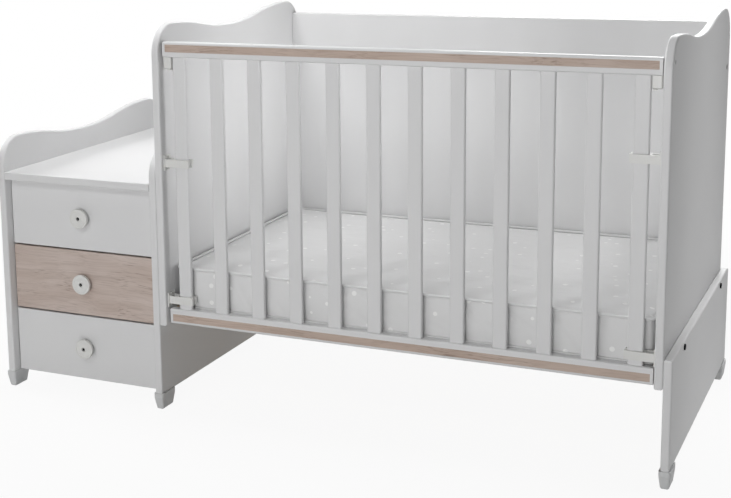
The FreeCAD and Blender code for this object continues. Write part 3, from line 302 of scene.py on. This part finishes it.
# %% [markdown]
# ## Hidden woods
#
# The mattress lies on raw pine slats let into two pine bearers, and the drawers have floors of white
# lacquered hardboard. They show only from below, or when the gate is down or a drawer is open. Pine has
# wide pale and narrow tan bands along its length. Rings cut from a log would be truer, but these pieces are
# narrow, so noise stretched along them is enough. The slats run across the crib and the bearers along it,
# so one function makes two finishes, one for each direction.

# %% Pine and hardboard
def planed_pine(name, lengthwise):
    # Raw planed pine: soft honey bands along the piece, matt, with a fine fibre.
    material, tree, shader, place = start_finish(name, {"IOR": 1.45})
    along, across = per(260), per(9)
    scales = (along, across, across) if lengthwise == "X" else (across, along, across)
    bands = stretched_noise(tree, place, scales, detail=4.0)
    tan_share = remap(tree, bands, low=0.35, high=0.65)
    colour = blend(tree, tan_share, linear("#E6CFA4"), linear("#CFA876"))
    gloss = remap(tree, bands, start=0.55, stop=0.7)
    end_finish(tree, shader, colour, gloss, bands, depth_mm=0.15, strength=0.6)
    return material


def lacquered_hardboard():
    # White lacquer over pressed fibre: smooth from afar, with short fibres that show through.
    material, tree, shader, place = start_finish("lacquered_hardboard", {"IOR": 1.5})
    settings = {"Vector": place, "Scale": per(6), "Detail": 5.0, "Distortion": 1.2}
    fibre = add(tree, "ShaderNodeTexNoise", settings).outputs["Fac"]
    colour = blend(tree, fibre, linear("#E6E5E1"), linear("#DAD8D2"))
    gloss = remap(tree, fibre, start=0.36, stop=0.5)
    end_finish(tree, shader, colour, gloss, fibre, depth_mm=0.06, strength=0.5)
    return material


pine_slats = planed_pine("planed_pine_slats", lengthwise="Y")
pine_bearers = planed_pine("planed_pine_bearers", lengthwise="X")
hardboard = lacquered_hardboard()
print("made", pine_slats.name, pine_bearers.name, "and", hardboard.name)

# %% [markdown]
# ## Mattress cover
#
# The cover is a white cotton blend with small pale dots, sewn with a piping of the same cloth without dots.
# Its threads are under half a millimetre and too fine to show, so only the soft puckers of a washed cover
# are drawn, to break the light. The dots could be a picture, but the cells of a Voronoi texture need none:
# a spot round each cell's centre, scattered because the cells are.

# %% Cotton cover
DOT_SPACING_MM = 40
DOT_RADIUS_MM = 6
DOT_FULL_SHARE = 0.85
DOT_STRENGTH = 0.85
PUCKER_MM = 15.08
WAVE_RADIANS = 20


def cotton_cover(name, spots):
    # Woven cotton: matt, a little sheen at the rim, soft puckers, and whiter dots where it is printed.
    constants = {"IOR": 1.45, "Sheen Weight": 0.15, "Sheen Roughness": 0.5}
    material, tree, shader, place = start_finish(name, constants)
    wash = speckle(tree, place, size_mm=160, detail=3.0)
    colour = blend(tree, wash, linear("#E3E3E3"), linear("#DCDCDC"))
    if spots:
        settings = {"Vector": place, "Scale": per(DOT_SPACING_MM), "Randomness": 0.85}
        away = add(tree, "ShaderNodeTexVoronoi", settings).outputs["Distance"]
        rim = DOT_RADIUS_MM / DOT_SPACING_MM
        spot = remap(tree, away, low=rim, high=DOT_FULL_SHARE * rim, stop=DOT_STRENGTH)
        colour = blend(tree, spot, colour, linear("#F6F6F5"))
    gloss = remap(tree, wash, start=0.72, stop=0.85)
    # A wave texture turns by 20 radians a unit along Z, and by half of that along its diagonal.
    scale = per(PUCKER_MM) * math.tau / WAVE_RADIANS
    puckers = []
    for direction in ("DIAGONAL", "Z"):
        settings = {"Vector": place, "Scale": scale, "Distortion": 1.0}
        wave = add(tree, "ShaderNodeTexWave", settings, bands_direction=direction)
        puckers.append(wave.outputs["Fac"])
    both = add(tree, "ShaderNodeMath", {0: puckers[0], 1: puckers[1]}, operation="ADD")
    end_finish(tree, shader, colour, gloss, both.outputs[0], depth_mm=0.12, strength=0.4)
    return material


printed_cotton = cotton_cover("printed_cotton_cover", spots=True)
plain_cotton = cotton_cover("plain_cotton_piping", spots=False)
print("made", printed_cotton.name, "and", plain_cotton.name)

# %% [markdown]
# ## Hand out the finishes
#
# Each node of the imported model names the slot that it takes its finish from. Pieces could be painted one by
# one, but a table from slot to finish is shorter and misses none. Four pieces then get a finish of their
# own: the bearers, whose grain runs the other way, and the rails' browner stripes.

# %% Finishes by slot
finishes = {
    "white_board": white_board,
    "ash_decor_board": ash_paper,
    "white_hardboard": hardboard,
    "pine_slats": pine_slats,
    "white_plastic": white_plastic,
    "grey_plastic": grey_plastic,
    "white_steel": white_steel,
    "dark_steel": dark_steel,
    "zinc_steel": zinc_steel,
    "mattress_cover": printed_cotton,
}
own_finishes = {
    "base_front_bearer": pine_bearers,
    "base_back_bearer": pine_bearers,
    "gate_top_stripe": ash_stripe,
    "gate_bottom_stripe": ash_stripe,
}
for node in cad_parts.values():
    for slot in node.material_slots:
        slot.material = finishes[slot.material.name]
for name, finish in own_finishes.items():
    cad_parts[name].material_slots[0].material = finish
print("handed out", len(finishes), "finishes by slot and", len(own_finishes), "by piece")

# %% [markdown]
# ## The mattress
#
# A crib mattress is a block of foam in a sewn cover: a top panel, a bottom panel and a border, joined by
# two piped seams. The seams hold their line while the cloth between them swells a little. A block with
# rounded edges would look carved, so the core is closed, given an even mesh, and blown up by cloth
# simulation with its seams held. The swelling is then capped, because foam fills the cover and air doesn't.

# %% Mattress core
MATTRESS_LOW, MATTRESS_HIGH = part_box("mattress")
PIPING_RADIUS = 0.0035
CORNER_RADIUS = 0.012
EDGE_RADIUS = 0.006
SWELL_CAP = 0.006
MESH_SIZE = 0.009
CLEARANCE = 0.001
BOTTOM_SEAM_HEIGHT = 0.0015
SHARP_ANGLE = math.radians(60)
SEAM_TOP = MATTRESS_HIGH.z - SWELL_CAP - CLEARANCE
SEAM_BOTTOM = MATTRESS_LOW.z + BOTTOM_SEAM_HEIGHT
INSET = PIPING_RADIUS + CLEARANCE
CORE_LOW = MATTRESS_LOW + Vector((INSET, INSET, 0))
CORE_HIGH = Vector((MATTRESS_HIGH.x - INSET, MATTRESS_HIGH.y - INSET, SEAM_TOP))


def plain_mesh(obj):
    """The object's evaluated shape as a mesh of its own, with no modifier left on the object."""
    bpy.context.view_layer.update()
    evaluated = obj.evaluated_get(bpy.context.evaluated_depsgraph_get())
    mesh = bpy.data.meshes.new_from_object(evaluated)
    obj.modifiers.clear()
    obj.data = mesh
    return mesh


def points_of(mesh):
    """The mesh's points as an array with one row each."""
    flat = np.empty(len(mesh.vertices) * 3)
    mesh.vertices.foreach_get("co", flat)
    return flat.reshape(-1, 3)


def core_block():
    """A closed block between the core's corners, with rounded upright corners and soft edges."""
    block = bmesh.new()
    bmesh.ops.create_cube(block, size=1)
    middle, size = (CORE_LOW + CORE_HIGH) / 2, CORE_HIGH - CORE_LOW
    placed = Matrix.Translation(middle) @ Matrix.Diagonal(size).to_4x4()
    bmesh.ops.transform(block, matrix=placed, verts=block.verts)
    upright = [e for e in block.edges if abs(e.verts[0].co.z - e.verts[1].co.z) > EDGE_RADIUS]
    bmesh.ops.bevel(block, geom=upright, offset=CORNER_RADIUS, segments=8, profile=0.5, affect="EDGES")
    level = [e for e in block.edges if e.calc_face_angle(0) > SHARP_ANGLE]
    bmesh.ops.bevel(block, geom=level, offset=EDGE_RADIUS, segments=3, profile=0.5, affect="EDGES")
    bmesh.ops.recalc_face_normals(block, faces=block.faces)
    mesh = bpy.data.meshes.new("mattress_pad")
    block.to_mesh(mesh)
    block.free()
    return mesh


mattress = bpy.data.objects.new("mattress_pad", core_block())
scene.collection.objects.link(mattress)
remesh = mattress.modifiers.new("even_mesh", "REMESH")
remesh.mode = "VOXEL"
remesh.voxel_size = MESH_SIZE
plain_mesh(mattress)
print("core", len(mattress.data.vertices), "points")

# %% [markdown]
# The seams are where the cover can't move, so the points near them are pinned, and so is the flat
# underside. How near a point is to a seam is the distance to a rounded rectangle, worked out from the
# core's corners.

# %% Blow up the cover
PIN_REACH = 0.009
SIMULATED_FRAMES = 20
FILLING_PRESSURE = 4
LEAST_LENGTH = 1e-9


def outside_outline(points):
    """How far each point lies outside the core's rounded outline, seen from above."""
    middle = np.array(CORE_LOW + CORE_HIGH)[:2] / 2
    half = np.array(CORE_HIGH - CORE_LOW)[:2] / 2
    reach = np.abs(points[:, :2] - middle) - (half - CORNER_RADIUS)
    return np.linalg.norm(np.maximum(reach, 0), axis=1) + np.minimum(reach.max(axis=1), 0) - CORNER_RADIUS


def blow_up(pad):
    """Swells the pad with cloth pressure, seams and underside held, and caps how far each point moves."""
    before = points_of(pad.data)
    level_gap = np.minimum(np.abs(before[:, 2] - SEAM_TOP), np.abs(before[:, 2] - SEAM_BOTTOM))
    seam_gap = np.hypot(outside_outline(before), level_gap)
    held = (seam_gap < PIN_REACH) | (before[:, 2] < SEAM_BOTTOM)
    pinned = pad.vertex_groups.new(name="sewn")
    pinned.add(np.flatnonzero(held).tolist(), 1.0, "REPLACE")
    cloth = pad.modifiers.new("filling", "CLOTH")
    cloth.settings.quality = 5
    cloth.settings.mass = 0.3
    cloth.settings.tension_stiffness = 15
    cloth.settings.compression_stiffness = 15
    cloth.settings.bending_stiffness = 0.5
    cloth.settings.use_pressure = True
    cloth.settings.uniform_pressure_force = FILLING_PRESSURE
    cloth.settings.vertex_group_mass = "sewn"
    cloth.settings.effector_weights.gravity = 0
    cloth.point_cache.frame_start, cloth.point_cache.frame_end = 1, SIMULATED_FRAMES
    for step in range(1, SIMULATED_FRAMES + 1):
        scene.frame_set(step)
    after = points_of(plain_mesh(pad))
    scene.frame_set(1)
    move = after - before
    length = np.linalg.norm(move, axis=1, keepdims=True)
    move *= np.minimum(1, SWELL_CAP / np.maximum(length, LEAST_LENGTH))
    swollen = before + move
    swollen[:, 2] = np.maximum(swollen[:, 2], MATTRESS_LOW.z)
    pad.data.vertices.foreach_set("co", swollen.ravel())
    print("swelled by up to", round(1000 * float(length.max()), 1), "mm before the cap")


blow_up(mattress)

# %% [markdown]
# Cloth over foam is never quite smooth. Long shallow ripples lie on the top, and on the border the cover
# creases slantwise between its seams. A bump would only shade them, so they are moved into the mesh itself,
# where they are there from any side. Near the seams they fade, and the underside stays flat.

# %% Ripples and creases
RIPPLE_HEIGHT = 0.003
CREASE_DEPTH = 0.0032
SEAM_FADE = 0.02
EDGE_FADE = 0.05
TOP_FACING = 0.5
RIPPLES_PER_METRE = (5, 16)
CRINKLES_PER_METRE = (22, 34)
RIPPLE_SHARE, CRINKLE_SHARE = 0.7, 0.3
CREASES_PER_METRE = 14
SLANTS_PER_METRE = 2.5
MEAN_SLANT, SLANT_RANGE = 12, 22
CREASE_BEND = 6
CREASE_SHARPNESS = 3
# Each noise is cut at a height of its own, so that no two of them look alike.
RIPPLE_CUT, CRINKLE_CUT, SLANT_CUT, CREASE_CUT = 3.7, 8.1, 1.3, 5.2


def folds(x, y, per_metre, cut, octaves):
    """Noise of some octaves, each twice as fine as the one before, on the flat of the mattress."""
    return noise.fractal(Vector((x * per_metre[0], y * per_metre[1], cut)), 1.0, 2.0, octaves)


def border_crease(x, y, z):
    """How deep a crease is at a place on the border, from 0 to 1."""
    slant = noise.noise(Vector((x * SLANTS_PER_METRE, y * SLANTS_PER_METRE, SLANT_CUT)))
    across = (x + y) * CREASES_PER_METRE + (MEAN_SLANT + SLANT_RANGE * slant) * (z - SEAM_BOTTOM)
    ridge = abs(noise.noise(Vector((across, z * CREASE_BEND, CREASE_CUT))))
    return max(1 - ridge * CREASE_SHARPNESS, 0)


def rumple(mesh):
    """Moves each point along its normal, for ripples on the top and creases on the border."""
    points = points_of(mesh)
    normals = np.empty(len(points) * 3)
    mesh.vertices.foreach_get("normal", normals)
    normals = normals.reshape(-1, 3)
    height = np.zeros(len(points))
    from_top = np.clip((SEAM_TOP - points[:, 2]) / SEAM_FADE, 0, 1)
    from_bottom = np.clip((points[:, 2] - SEAM_BOTTOM) / SEAM_FADE, 0, 1)
    from_edge = np.clip(-outside_outline(points) / EDGE_FADE, 0, 1)
    for index, (x, y, z) in enumerate(points):
        if normals[index, 2] > TOP_FACING:
            ripple = folds(x, y, RIPPLES_PER_METRE, RIPPLE_CUT, octaves=4)
            crinkle = folds(x, y, CRINKLES_PER_METRE, CRINKLE_CUT, octaves=3)
            mixed_folds = RIPPLE_SHARE * ripple + CRINKLE_SHARE * crinkle
            height[index] = RIPPLE_HEIGHT * from_edge[index] * mixed_folds
        elif z > SEAM_BOTTOM:
            height[index] = -CREASE_DEPTH * from_top[index] * from_bottom[index] * border_crease(x, y, z)
    moved = points + normals * height[:, None]
    mesh.vertices.foreach_set("co", moved.ravel())
    mesh.update()
    return height


finer = mattress.modifiers.new("finer", "SUBSURF")
finer.levels = finer.render_levels = 1
pad_mesh = plain_mesh(mattress)
moves = rumple(pad_mesh)
pad_mesh.polygons.foreach_set("use_smooth", [True] * len(pad_mesh.polygons))
pad_mesh.materials.clear()
pad_mesh.materials.append(finishes["mattress_cover"])
deepest, highest = (round(1000 * float(move), 1) for move in (moves.min(), moves.max()))
print("mattress", len(pad_mesh.polygons), "faces, rumpled from", deepest, "to", highest, "mm")

# %% [markdown]
# ## Piping and stitches
#
# Both follow the outline of the mattress. They could be modelled by hand along it, but Geometry Nodes make
# them from one rounded rectangle: a round profile swept along it is the piping, and short stitches set
# along it are the sewing. The sizes are named inputs of the tree. The stitches look up the nearest place on
# the pad, so that they lie on the cloth wherever it swelled.

# %% Node trees along the outline
CORNER_STEPS = 10
PIPING_STEP = 0.006
PIPING_SIDES = 10
OUTLINE_INPUTS = {
    "Length": "Float",
    "Depth": "Float",
    "Corner Radius": "Float",
    "Place": "Vector",
    "Material": "Material",
}


def new_tree(name, inputs):
    """An empty geometry tree with named inputs: the tree, its input sockets and its output node."""
    tree = bpy.data.node_groups.new(name, "GeometryNodeTree")
    tree.interface.new_socket("Geometry", in_out="OUTPUT", socket_type="NodeSocketGeometry")
    for socket, kind in inputs.items():
        tree.interface.new_socket(socket, in_out="INPUT", socket_type="NodeSocket" + kind)
    return tree, add(tree, "NodeGroupInput").outputs, add(tree, "NodeGroupOutput")


def outline_path(tree, sizes):
    """A rounded rectangle at its place, as a curve socket."""
    sides = {"Width": sizes["Length"], "Height": sizes["Depth"]}
    rectangle = add(tree, "GeometryNodeCurvePrimitiveQuadrilateral", sides)
    corners = {"Curve": rectangle.outputs[0], "Count": CORNER_STEPS, "Radius": sizes["Corner Radius"]}
    rounded = add(tree, "GeometryNodeFilletCurve", corners, mode="POLY")
    placing = {"Geometry": rounded.outputs[0], "Translation": sizes["Place"]}
    return add(tree, "GeometryNodeTransform", placing).outputs[0]


def finish_tree(tree, output, geometry, material):
    """Ends a tree with real faces that carry a material."""
    real = add(tree, "GeometryNodeRealizeInstances", {"Geometry": geometry})
    painted = add(tree, "GeometryNodeSetMaterial", {"Geometry": real.outputs[0], "Material": material})
    tree.links.new(painted.outputs[0], output.inputs[0])


def piping_tree():
    """A round cord along the outline."""
    tree, sizes, output = new_tree("piping", OUTLINE_INPUTS | {"Piping Radius": "Float"})
    path = outline_path(tree, sizes)
    even = add(tree, "GeometryNodeResampleCurve", {"Curve": path, "Length": PIPING_STEP}, mode="LENGTH")
    circle = {"Resolution": PIPING_SIDES, "Radius": sizes["Piping Radius"]}
    profile = add(tree, "GeometryNodeCurvePrimitiveCircle", circle)
    sweep = {"Curve": even.outputs[0], "Profile Curve": profile.outputs[0]}
    tube = add(tree, "GeometryNodeCurveToMesh", sweep)
    smooth = add(tree, "GeometryNodeSetShadeSmooth", {"Geometry": tube.outputs[0]})
    finish_tree(tree, output, smooth.outputs[0], sizes["Material"])
    return tree


def stitch_tree():
    """Short stitches along the outline, each laid on the nearest place of the pad."""
    inputs = OUTLINE_INPUTS | {"Pad": "Object", "Pitch": "Float", "Stitch": "Vector"}
    tree, sizes, output = new_tree("stitches", inputs)
    path = outline_path(tree, sizes)
    marks = add(tree, "GeometryNodeCurveToPoints", {"Curve": path, "Length": sizes["Pitch"]}, mode="LENGTH")
    pad = add(tree, "GeometryNodeObjectInfo", {"Object": sizes["Pad"]})
    cloth = {"Geometry": pad.outputs["Geometry"]}
    nearest = add(tree, "GeometryNodeProximity", cloth, target_element="FACES")
    laying = {"Geometry": marks.outputs["Points"], "Position": nearest.outputs["Position"]}
    laid = add(tree, "GeometryNodeSetPosition", laying)
    tangent = {"Vector": marks.outputs["Tangent"]}
    along = add(tree, "FunctionNodeAlignRotationToVector", tangent, axis="X")
    thread = add(tree, "GeometryNodeMeshIcoSphere", {"Radius": 1.0, "Subdivisions": 1})
    stitching = {
        "Points": laid.outputs[0],
        "Instance": thread.outputs[0],
        "Rotation": along.outputs[0],
        "Scale": sizes["Stitch"],
    }
    sewn = add(tree, "GeometryNodeInstanceOnPoints", stitching)
    finish_tree(tree, output, sewn.outputs[0], sizes["Material"])
    return tree


piping, stitches = piping_tree(), stitch_tree()
for made in (piping, stitches):
    print(made.name, "tree with", len(made.nodes), "nodes")

# %% [markdown]
# Each seam now gets its piping and its row of stitches. Both trees run with the mattress's own sizes, and
# the results are kept as plain meshes. Then the sewn pieces and the pad are told what they ride on, and the
# plain block of the imported model, which the pad stands in for, is hidden.

# %% Sew the mattress
STITCH_PITCH = 0.009
STITCH_HALF_SIZES = (0.0030, 0.0006, 0.0006)
STITCH_DROP = 0.008
PIPING_DROP = 0.002


def grow(name, tree, values):
    """Runs a tree with the given input values and keeps the result as a plain mesh object."""
    grown = bpy.data.objects.new(name, bpy.data.meshes.new(name))
    scene.collection.objects.link(grown)
    modifier = grown.modifiers.new(name, "NODES")
    modifier.node_group = tree
    for item in tree.interface.items_tree:
        if item.in_out == "INPUT":
            modifier[item.identifier] = values[item.name]
    mesh = plain_mesh(grown)
    print(name, len(mesh.polygons), "faces")
    return grown


outline_middle = (CORE_LOW + CORE_HIGH) / 2
outline = {
    "Length": CORE_HIGH.x - CORE_LOW.x,
    "Depth": CORE_HIGH.y - CORE_LOW.y,
    "Corner Radius": CORNER_RADIUS,
    "Material": plain_cotton,
}
sewing = {"Pad": mattress, "Pitch": STITCH_PITCH, "Stitch": STITCH_HALF_SIZES}
sewn_pieces = []
for edge, seam_height, side in (("top", SEAM_TOP, -1), ("bottom", SEAM_BOTTOM, 1)):
    piping_place = (outline_middle.x, outline_middle.y, seam_height + side * PIPING_DROP)
    stitch_place = (outline_middle.x, outline_middle.y, seam_height + side * STITCH_DROP)
    piping_values = outline | {"Place": piping_place, "Piping Radius": PIPING_RADIUS}
    stitch_values = outline | sewing | {"Place": stitch_place}
    sewn_pieces.append(grow(f"mattress_piping_{edge}", piping, piping_values))
    sewn_pieces.append(grow(f"mattress_stitches_{edge}", stitches, stitch_values))

for piece in (mattress, *sewn_pieces):
    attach(piece, "root")
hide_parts("mattress")

# %% [markdown]
# ## Floor and light
#
# A catalogue picture stands on white. Lighting the floor until it burns out would burn the boards out as
# well, so the floor is an ordinary pale one for the light, and shows itself whiter to the camera and to
# reflections. Close to the object it keeps the shadow, and further away it runs out into plain white.

# %% Floor and background
FLOOR_SIZE = 60
SHADOW_START, SHADOW_END = 0.9, 2.4
NEAR_WHITE_SHARE = 0.93
FILL_STRENGTH = 0.1


def shown_rays(tree):
    """A socket that is 1 for rays from the camera, reflections and clear materials, and 0 for others."""
    path = add(tree, "ShaderNodeLightPath").outputs
    direct = {0: path["Is Camera Ray"], 1: path["Is Glossy Ray"]}
    seen = add(tree, "ShaderNodeMath", direct, operation="MAXIMUM")
    through = {0: seen.outputs[0], 1: path["Is Transmission Ray"]}
    return add(tree, "ShaderNodeMath", through, operation="MAXIMUM").outputs[0]


def pale_floor():
    # Matt pale paint: takes the shadow near the object and shows as plain white further out.
    material, tree, shader, place = start_finish("pale_floor", {"Roughness": 0.9, "IOR": 1.2})
    shader.inputs["Base Color"].default_value = linear("#D2D2D2")
    away = add(tree, "ShaderNodeVectorMath", {0: place}, operation="LENGTH")
    reach = {
        "Value": away.outputs["Value"],
        "From Min": SHADOW_START,
        "From Max": SHADOW_END,
        "To Min": NEAR_WHITE_SHARE,
        "To Max": 1.0,
    }
    fade = add(tree, "ShaderNodeMapRange", reach, interpolation_type="SMOOTHSTEP")
    share = add(tree, "ShaderNodeMath", {0: fade.outputs[0], 1: shown_rays(tree)}, operation="MULTIPLY")
    white = add(tree, "ShaderNodeEmission", {"Color": linear("#FFFFFF"), "Strength": 1.0})
    layers = {0: share.outputs[0], 1: shader.outputs[0], 2: white.outputs[0]}
    shown = add(tree, "ShaderNodeMixShader", layers)
    tree.links.new(shown.outputs[0], tree.nodes["Material Output"].inputs["Surface"])
    return material


half_floor = FLOOR_SIZE / 2
floor_corners = [(x * half_floor, y * half_floor, 0) for x, y in ((-1, -1), (1, -1), (1, 1), (-1, 1))]
floor_mesh = bpy.data.meshes.new("studio_floor")
floor_mesh.from_pydata(floor_corners, [], [(0, 1, 2, 3)])
floor = bpy.data.objects.new("studio_floor", floor_mesh)
scene.collection.objects.link(floor)
floor_mesh.materials.append(pale_floor())

world = bpy.data.worlds.new("studio")
world.use_nodes = True
scene.world = world
sky = world.node_tree
fill = add(sky, "ShaderNodeBackground", {"Color": linear("#F8F8F8"), "Strength": FILL_STRENGTH})
backdrop = add(sky, "ShaderNodeBackground", {"Color": linear("#FFFFFF"), "Strength": 1.0})
either = add(sky, "ShaderNodeMixShader", {0: shown_rays(sky), 1: fill.outputs[0], 2: backdrop.outputs[0]})
sky.links.new(either.outputs[0], sky.nodes["World Output"].inputs["Surface"])
print("floor", FLOOR_SIZE, "m wide, plain white from", SHADOW_END, "m out")

# %% [markdown]
# Eight soft boxes do the rest. One or two large ones would be simpler, but they would flatten the slats or
# grey the dark gaps round the drawers. So a large one stands low in front, and a smaller key at the upper
# left draws the slats' shadows on the mattress. One far to the left lights the cabinet's side and fades out
# over its top. Small ones hang over the cabinet's top, the mattress and the leg panel, and one inside the
# crib lights its left end. One behind serves the views from there. The right end gets mostly what the room
# gives back, so it stays the darkest.

# %% Lamps
def soft_box(name, place, target, size, watts, spread=180):
    """A square area light that looks at its target and isn't seen. A grid narrows its spread, in degrees."""
    light = bpy.data.lights.new(name, "AREA")
    light.size = size
    light.energy = watts
    light.spread = math.radians(spread)
    lamp = bpy.data.objects.new(name, light)
    lamp.location = place
    lamp.rotation_euler = (Vector(target) - Vector(place)).to_track_quat("-Z", "Y").to_euler()
    lamp.visible_camera = False
    scene.collection.objects.link(lamp)
    print(name, watts, "W")


soft_box("front_box", (0.5, -4.2, 0.75), (0.1, 0, 0.45), size=1.6, watts=53)
soft_box("key_box", (-0.7, -2.3, 2.0), (0.2, 0, 0.35), size=0.5, watts=12)
soft_box("left_box", (-3.2, 0.2, 2.2), (-0.4, 0, 0.5), size=1.2, watts=55)
soft_box("cabinet_top_box", (-0.55, -0.1, 1.9), (-0.58, 0, 0.5), size=0.6, watts=9.6)
soft_box("crib_box", (0.68, -0.02, 0.74), (-0.345, 0.02, 0.76), size=0.4, watts=1.0, spread=70)
soft_box("over_crib_box", (0.25, 0, 2.1), (0.2, 0, 0.35), size=0.6, watts=0.12, spread=50)
soft_box("leg_box", (1.3, 0.05, 1.9), (0.92, 0.05, 0.2), size=0.5, watts=1, spread=40)
soft_box("back_box", (-0.2, 4.2, 2.2), (0, 0, 0.4), size=2.0, watts=66)
scene.view_settings.view_transform = "Standard"
